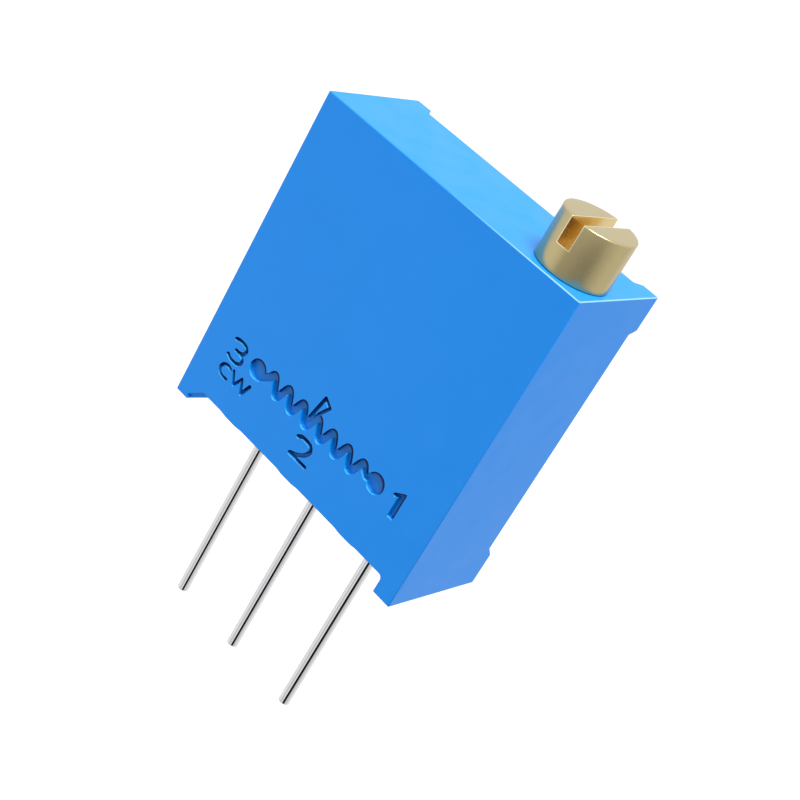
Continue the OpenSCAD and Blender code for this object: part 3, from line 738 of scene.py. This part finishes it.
def slot_cutter(width, depth, angle):
    """Box that saws the slot: across the whole head, from its floor to a little above the head."""
    above, reach = 0.1, 4
    slot = bmesh.new()
    bmesh.ops.create_cube(slot, size=1)
    place = (Matrix.Translation(Vector((*SCREW_AXIS, SCREW_HIGH[2] - depth / 2 + above)) * MM)
             @ Matrix.Rotation(angle, 4, "Z")
             @ Matrix.Diagonal((width, reach * MM, (depth + 2 * above) * MM, 1)))
    bmesh.ops.transform(slot, matrix=place, verts=slot.verts)
    cutter = bpy.data.meshes.new("slot_cutter")
    slot.to_mesh(cutter)
    slot.free()
    return cutter


class TRIMMER_OT_screw(bpy.types.Operator):
    """Builds the turned brass screw with its worm and screwdriver slot"""
    bl_idname = "trimmer.screw"
    bl_label = "Screw"

    def execute(self, context):
        settings = context.scene.trimmer_screw
        depth = settings.slot_depth / MM
        cutter = slot_cutter(settings.slot_width, depth, settings.slot_angle)
        mesh = cut(screw_blank(settings.facets), cutter)
        mesh.name = "brass_screw"
        half, floor_z = settings.slot_width / 2, (SCREW_HIGH[2] - depth) * MM
        near = 0.01 * MM
        back = Matrix.Rotation(-settings.slot_angle, 3, "Z")
        centre = Vector((*SCREW_AXIS, 0)) * MM

        def across(point):
            """Distance from the slot's middle plane."""
            return abs((back @ (point - centre)).x)

        part = bmesh.new()
        part.from_mesh(mesh)
        rims = [edge for edge in part.edges if edge.is_convex and len(edge.link_faces) == 2
                and edge.calc_face_angle() > math.radians(40)
                and all(v.co.z > floor_z - near and abs(across(v.co) - half) < near / 2
                        for v in edge.verts)]
        bmesh.ops.bevel(part, geom=rims, offset=RIM_BREAK * MM, segments=2, profile=0.5,
                        affect="EDGES", clamp_overlap=True)
        part.to_mesh(mesh)
        part.free()
        smooth(mesh, 32)
        mesh.materials.clear()
        mesh.materials.append(turned_brass("turned_brass_satin", tuple(settings.brass),
                                           (settings.slot_angle, half, floor_z)))
        mesh.materials.append(turned_brass("sawn_brass_slot", tuple(settings.slot_brass)))
        for face in mesh.polygons:
            middle, z = across(face.center), face.center.z
            on_wall = abs(middle - half) < near and abs((back @ face.normal).x) > 0.9
            on_floor = middle < half and face.normal.z > 0.9 and z < floor_z + near
            if z > floor_z - near and (on_wall or on_floor):
                face.material_index = SLOT_MATERIAL
        dress("brass_screw", mesh, "screw", ["adjustment_screw"])
        return {"FINISHED"}


# ---- the pins ----

WIRE_R, BLADE_HALF = 0.18, 0.12  # the round wire, and half the flattened end's thickness
BLADE_Z, BLADE_RUN = 0.34, 0.12  # where the wire starts to be flat, and over what length
BLADE_CHAMFER = 0.03


def pin_points(low, high, tip_radius, facets):
    """A pin: a circle carried up the axis that turns into a flattened section. The section is a
    superellipse, whose power runs from 2, a circle, to 6, nearly a rectangle."""
    x0, y0 = (low[:2] + high[:2]) / 2
    half_x = (high[0] - low[0]) / 2
    rise, step = quarter_round(tip_radius)
    # The ring just above the tip keeps the tip's round out of the shading of the long faces.
    shank = [low[2] + tip_radius + 0.02, -3.0, 0.0]
    blade = np.linspace(BLADE_Z, BLADE_Z + 0.14, 9)
    z = np.concatenate([low[2] + rise, shank, blade, [high[2] - BLADE_CHAMFER, high[2]]])
    inset = np.concatenate([tip_radius - step, np.zeros(13), [BLADE_CHAMFER]])[:, None]
    t = blend_step((z - BLADE_Z) / BLADE_RUN)[:, None]
    angle = np.linspace(0, 2 * math.pi, facets, endpoint=False)[None]
    power = 2 / (2 + 4 * t)
    c, s = np.cos(angle), np.sin(angle)
    x = x0 + (WIRE_R + (half_x - WIRE_R) * t - inset) * np.sign(c) * np.abs(c) ** power
    y = y0 + (WIRE_R + (BLADE_HALF - WIRE_R) * t - inset) * np.sign(s) * np.abs(s) ** power
    return x, y, np.repeat(z[:, None], facets, 1)


class TRIMMER_OT_pins(bpy.types.Operator):
    """Builds the three tinned pins"""
    bl_idname = "trimmer.pins"
    bl_label = "Pins"

    def execute(self, context):
        settings = context.scene.trimmer_pins
        finish = tinned_copper(tuple(settings.tin))
        for number in (1, 2, 3):
            node = "terminal_%d" % number
            x, y, z = pin_points(*box_mm(node), settings.tip_radius / MM, settings.facets)
            piece = new_piece("pin_%d" % number, tube_points(x, y, z), tube_faces(*z.shape),
                              "case", [node])
            smooth(piece.data, 40)
            piece.data.materials.append(finish)
        return {"FINISHED"}


# ---- the potting ----

POUR_FLOOR, POUR_FRONT = 1.04, 0.80  # lowest height and front of the poured block
TONGUE_HALF, TONGUE_FLOOR, TONGUE_FRONT = 0.27, 0.54, 0.12  # the tongues that close the pin slots
SINK = 0.02  # how far the resin's level lies in front of its back in the CAD


def slab(x0, x1, z0, z1, y_front, count_x, count_z, lift):
    """Closed slab: flat front, sides, and a back at the resin's own back plus lift(x, z)."""
    x, z = np.meshgrid(np.linspace(x0, x1, count_x), np.linspace(z0, z1, count_z), indexing="ij")
    back = np.stack([x, RESIN_HIGH[1] + lift(x, z), z], -1).reshape(-1, 3)
    front = np.stack([x, np.full_like(x, y_front), z], -1).reshape(-1, 3)
    return np.vstack([back, front]), block_faces(count_x, count_z)


class TRIMMER_OT_potting(bpy.types.Operator):
    """Builds the cast resin that closes the back"""
    bl_idname = "trimmer.potting"
    bl_label = "Potting"

    def execute(self, context):
        settings = context.scene.trimmer_potting
        creep, reach = settings.creep / MM, settings.reach / MM
        x1, z1 = RESIN_HIGH[0], RESIN_HIGH[2]

        def meniscus(x, z):
            """Climbs at the walls by an exponential of the distance, and two slow waves show how
            it was poured."""
            wall = np.minimum(x1 - np.abs(x), np.minimum(z - POUR_FLOOR, z1 - z))
            near = np.exp(-wall / reach)
            wave = (0.012 * np.sin(1.1 * x + 0.7) * np.cos(0.8 * z)
                    + 0.006 * np.sin(2.3 * z - 1.7 * x))
            return creep * near - SINK + wave * (1 - near)

        points, faces = slab(-x1, x1, POUR_FLOOR, z1, POUR_FRONT, 90, 90, meniscus)
        for number in (1, 2, 3):
            low, high = box_mm("terminal_%d" % number)
            x = (low[0] + high[0]) / 2
            more, extra = slab(x - TONGUE_HALF, x + TONGUE_HALF, TONGUE_FLOOR, POUR_FLOOR,
                               TONGUE_FRONT, 13, 9, lambda x, z: np.full_like(x, -SINK))
            faces += [[i + len(points) for i in face] for face in extra]
            points = np.vstack([points, more])
        piece = new_piece("potting", points, faces, "case", ["sealing_resin"])
        smooth(piece.data, 40)
        piece.data.materials.append(cast_epoxy(tuple(settings.resin)))
        return {"FINISHED"}


# ---- the pieces inside ----

class TRIMMER_OT_inside(bpy.types.Operator):
    """Gives the pieces inside the housing their finishes"""
    bl_idname = "trimmer.inside"
    bl_label = "Inside"

    def execute(self, context):
        silver, solder = silver_ink(), reflowed_solder()
        finishes = {
            "shaft_o_ring": moulded_rubber(), "screw_retainer": stamped_steel(),
            "rotor_gear": moulded_acetal(), "wiper_spring": stamped_alloy(),
            "ceramic_substrate": fired_alumina(), "resistor_track": cermet_ink(),
            "collector_track": silver, "conductor_pad_1": silver, "conductor_pad_3": silver,
            "solder_joint_1": solder, "solder_joint_2": solder, "solder_joint_3": solder,
        }
        for node, finish in finishes.items():
            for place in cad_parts[node].material_slots:
                place.material = finish
        return {"FINISHED"}


# ---- the stage ----

# The camera's place in millimetres, its direction and which way is up, at the photograph's angle
CAMERA_PLACE = (20.51525, -36.41085, 23.09765)
CAMERA_LOOK = (-0.43240478, 0.79596792, -0.42362859)
CAMERA_UP = (-0.62069489, 0.07802659, 0.78016005)
SENSOR_WIDTH, NEAREST = 36, 0.001  # in millimetres, and the closest it sees in metres
# The lamp is wide, so its shadows are soft. It hangs overhead, a little to the front and right.
LAMP_WIDTH, LAMP_TURN = 30, (18, 0, 45)
FLOOR_HALF = 3.0  # metres
# Tones of the floor: what the camera sees, what lights the pieces, and what they mirror
FLOOR_SEEN, FLOOR_LIT, FLOOR_MIRRORED = "#D8D8D8", "#A2A2A2", "#BFBFBF"
# Tones of the grey card by azimuth in degrees: what the pins mirror, and what the head mirrors
CARD_AZIMUTH = (-60, -40, -27, -14, -3, 9, 21, 24, 42, 60, 64, 69, 80, 95, 107, 125, 140)
PIN_CARD = (1, 0.95, 0.73, 0.56, 0.78, 0.95, 0.85, 0.01, 0.01, 0.01, 0.5, 0.6, 0.72, 0.72, 0.8,
            0.97, 1)
HEAD_CARD = (1, 1, 0.95, 0.8, 0.5, 0.5, 0.48, 0.45, 0.35, 0.33, 0.35, 0.42, 0.6, 0.75, 0.85,
             0.85, 0.8)
# The card stands round the part: its radius, its step in degrees, and its rows' heights and tones
CARD_RADIUS, CARD_STEP = 30, 2
CARD_ROWS = ((-29.5, PIN_CARD), (-10, PIN_CARD), (-7, HEAD_CARD), (10, HEAD_CARD))


def seen_ray(tree):
    """1 for camera, glossy and transmission rays, which see the white background, and 0 for those
    that light."""
    ray = add(tree, "ShaderNodeLightPath", {}).outputs
    seen = maths(tree, "MAXIMUM", ray["Is Camera Ray"], ray["Is Glossy Ray"])
    return maths(tree, "MAXIMUM", seen, ray["Is Transmission Ray"])


def place_in_scene(name, data):
    """Links a new object into the scene."""
    item = bpy.data.objects.new(name, data)
    bpy.context.scene.collection.objects.link(item)
    return item


def add_camera(lens):
    """The camera at the photograph's angle."""
    camera = place_in_scene("camera", bpy.data.cameras.new("camera"))
    camera.data.lens, camera.data.sensor_width = lens, SENSOR_WIDTH
    camera.data.clip_start = NEAREST
    look = Vector(CAMERA_LOOK).normalized()
    right = look.cross(Vector(CAMERA_UP)).normalized()
    turn = Matrix((right, right.cross(look), -look)).transposed().to_4x4()
    camera.matrix_world = Matrix.Translation(Vector(CAMERA_PLACE) * MM) @ turn
    bpy.context.scene.camera = camera


def add_surroundings(strength):
    """A white world: soft light of a given strength, and plain white where a ray sees it."""
    world = bpy.data.worlds.new("white_surroundings")
    world.use_nodes = True
    tree = world.node_tree
    tree.nodes.clear()
    light, white = (add(tree, "ShaderNodeBackground", {"Color": (1, 1, 1, 1), "Strength": level})
                    for level in (strength, 1.0))
    mix = add(tree, "ShaderNodeMixShader", {0: seen_ray(tree), 1: light.outputs[0],
                                            2: white.outputs[0]})
    add(tree, "ShaderNodeOutputWorld", {"Surface": mix.outputs[0]})
    bpy.context.scene.world = world


def add_floor(drop):
    """A pale matt board under the part."""
    s = FLOOR_HALF
    mesh = bpy.data.meshes.new("floor")
    mesh.from_pydata([(-s, -s, -drop), (s, -s, -drop), (s, s, -drop), (-s, s, -drop)], [],
                     [(0, 1, 2, 3)])
    pale, tree, shader, place = new_material("pale_matt_board", 0.9)
    board = vary(tree, shader, place, linear(FLOOR_SEEN), 40, 1.0, 0.995, 1.005)
    by_camera = add(tree, "ShaderNodeLightPath", {}).outputs["Is Camera Ray"]
    tone = tint(tree, by_camera, tint(tree, seen_ray(tree), FLOOR_LIT, FLOOR_MIRRORED), board)
    tree.links.new(tone, shader.inputs["Base Color"])
    shader.inputs["Specular IOR Level"].default_value = 0.0
    mesh.materials.append(pale)
    floor = place_in_scene("floor", mesh)


def add_grey_card():
    """A curved card that only shiny surfaces see. Each row's tone follows the azimuth from the
    front."""
    azimuth = np.arange(CARD_AZIMUTH[0], CARD_AZIMUTH[-1] + CARD_STEP, CARD_STEP)
    tones = [np.interp(azimuth, CARD_AZIMUTH, row) for _, row in CARD_ROWS]
    angle = np.radians(azimuth)
    n = len(azimuth)
    points = np.vstack([np.stack([CARD_RADIUS * np.sin(angle), -CARD_RADIUS * np.cos(angle),
                                  np.full(n, z)], -1) for z, _ in CARD_ROWS])
    k = (n * np.arange(len(CARD_ROWS) - 1)[:, None] + np.arange(n - 1)).reshape(-1)
    mesh = bpy.data.meshes.new("grey_card")
    mesh.from_pydata((points * MM).tolist(), [],
                     np.stack([k, k + 1, k + n + 1, k + n], -1).tolist())
    mesh.attributes.new("tone", "FLOAT", "POINT").data.foreach_set("value", np.concatenate(tones))
    grey, tree, shader, _ = new_material("grey_card", 0.95)
    tree.nodes.remove(shader)
    tone = add(tree, "ShaderNodeAttribute", {}, attribute_name="tone")
    glow = add(tree, "ShaderNodeEmission", {"Color": tone.outputs["Color"]})
    tree.links.new(glow.outputs[0], tree.nodes["Material Output"].inputs["Surface"])
    mesh.materials.append(grey)
    card = place_in_scene("grey_card", mesh)
    card.visible_camera = card.visible_diffuse = False
    card.visible_shadow = card.visible_transmission = False


class TRIMMER_OT_stage(bpy.types.Operator):
    """Adds the camera, the soft light, the pale floor and the grey card that the metal mirrors"""
    bl_idname = "trimmer.stage"
    bl_label = "Stage"

    def execute(self, context):
        settings = context.scene.trimmer_stage
        context.scene.view_settings.view_transform = "Standard"
        add_camera(settings.lens)
        add_surroundings(settings.world)
        lamp = place_in_scene("overhead_lamp", bpy.data.lights.new("overhead_lamp", "SUN"))
        lamp.data.energy, lamp.data.angle = settings.sun, math.radians(LAMP_WIDTH)
        lamp.rotation_euler = [math.radians(a) for a in LAMP_TURN]
        add_floor(settings.floor_drop)
        add_grey_card()
        return {"FINISHED"}


# ---- panel and registration ----

class TRIMMER_PT_pieces(bpy.types.Panel):
    """Lists the pieces of the trimmer and their sizes and colours"""
    bl_idname = "TRIMMER_PT_pieces"
    bl_label = "Trimmer"
    bl_space_type = "VIEW_3D"
    bl_region_type = "UI"
    bl_category = "Trimmer"

    def draw(self, context):
        for step in STEPS:
            box = self.layout.box()
            box.operator("trimmer." + step)
            group = getattr(context.scene, "trimmer_" + step, None)
            if group:
                for key in group.__annotations__:
                    box.prop(group, key)


GROUPS = {"housing": HousingSettings, "screw": ScrewSettings, "pins": PinSettings,
          "potting": PottingSettings, "stage": StageSettings}
STEPS = ("housing", "screw", "pins", "potting", "inside", "stage")
CLASSES = (*GROUPS.values(), TRIMMER_OT_housing, TRIMMER_OT_screw, TRIMMER_OT_pins,
           TRIMMER_OT_potting, TRIMMER_OT_inside, TRIMMER_OT_stage, TRIMMER_PT_pieces)


def register():
    """Registers the classes and hangs each group of settings on the scene."""
    for item in CLASSES:
        bpy.utils.register_class(item)
    for name, group in GROUPS.items():
        setattr(bpy.types.Scene, "trimmer_" + name, PointerProperty(type=group))


def unregister():
    """Takes the settings and the classes out again."""
    for name in GROUPS:
        delattr(bpy.types.Scene, "trimmer_" + name)
    for item in reversed(CLASSES):
        bpy.utils.unregister_class(item)


def main():
    """Builds every piece and the stage."""
    register()
    for step in STEPS:
        getattr(bpy.ops.trimmer, step)()


if __name__ == "__main__":
    main()
